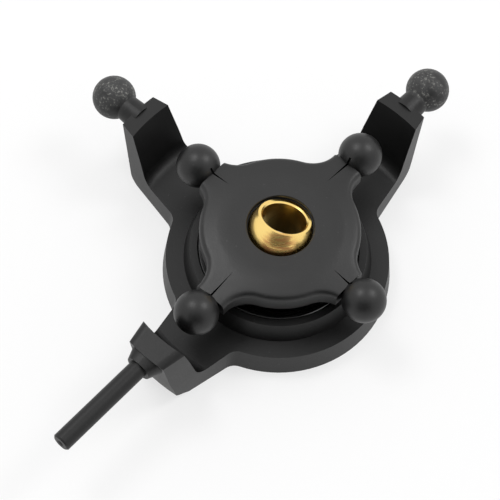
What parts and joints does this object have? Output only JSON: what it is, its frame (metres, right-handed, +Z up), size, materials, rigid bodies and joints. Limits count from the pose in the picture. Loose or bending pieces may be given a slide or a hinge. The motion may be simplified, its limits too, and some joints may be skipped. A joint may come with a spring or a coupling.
{
  "type": "helicopter swashplate",
  "caption": "Model helicopter swashplate: a ring with four link balls turns on a bearing in a lower ring with two servo arms and a guide pin, round a brass ball for the shaft.",
  "frame": {"origin": "centre of the brass centre ball, where the swash axis crosses the plane of the link balls", "axes": "+Z up along the swash axis, -Y along the anti-rotation pin, so the servo arms point along +Y and -X"},
  "size_m": [0.0257, 0.0376, 0.0073],
  "materials": {
    "lower_plastic": "satin moulded",
    "upper_plastic": "satin moulded",
    "ball_brass": "turned and polished",
    "race_steel": "ground",
    "ball_steel": "polished",
    "cage_plastic": "moulded",
    "seat_plastic": "smooth acetal",
    "retainer_metal": "turned"
  },
  "bodies": {
    "lower_ring": {"stationary_ring": "lower_plastic", "bearing_outer_race": "race_steel", "bearing_shield_upper": "race_steel", "bearing_shield_lower": "race_steel"},
    "upper_ring": {"rotating_ring": "upper_plastic", "bearing_inner_race": "race_steel", "seat_retainer": "seat_plastic", "hub_retainer": "retainer_metal"},
    "ball_cage": {"bearing_cage": "cage_plastic", "bearing_ball_01": "ball_steel", "bearing_ball_02": "ball_steel", "bearing_ball_03": "ball_steel", "bearing_ball_04": "ball_steel", "bearing_ball_05": "ball_steel", "bearing_ball_06": "ball_steel", "bearing_ball_07": "ball_steel", "bearing_ball_08": "ball_steel", "bearing_ball_09": "ball_steel", "bearing_ball_10": "ball_steel", "bearing_ball_11": "ball_steel", "bearing_ball_12": "ball_steel", "bearing_ball_13": "ball_steel"},
    "seat": {"ball_seat": "seat_plastic"},
    "shaft_ball": {"centre_ball": "ball_brass"}
  },
  "joints": [
    {"name": "spin", "type": "hinge", "parent": "lower_ring", "child": "upper_ring", "pos_m": [0, 0, 0], "axis": [0, 0, 1], "continuous": true},
    {"name": "cage_spin", "type": "hinge", "parent": "lower_ring", "child": "ball_cage", "pos_m": [0, 0, 0], "axis": [0, 0, 1], "continuous": true},
    {"name": "swivel", "type": "hinge", "parent": "upper_ring", "child": "seat", "pos_m": [0, 0, 0], "axis": [0, 0, 1], "continuous": true},
    {"name": "tilt", "type": "hinge", "parent": "seat", "child": "shaft_ball", "pos_m": [0, 0, 0], "axis": [-0.982, -0.1891, 0], "range_deg": [-49, 1]}
  ],
  "couplings": [
    {"joint": "cage_spin", "follows": "spin", "ratio": 0.4444}
  ]
}
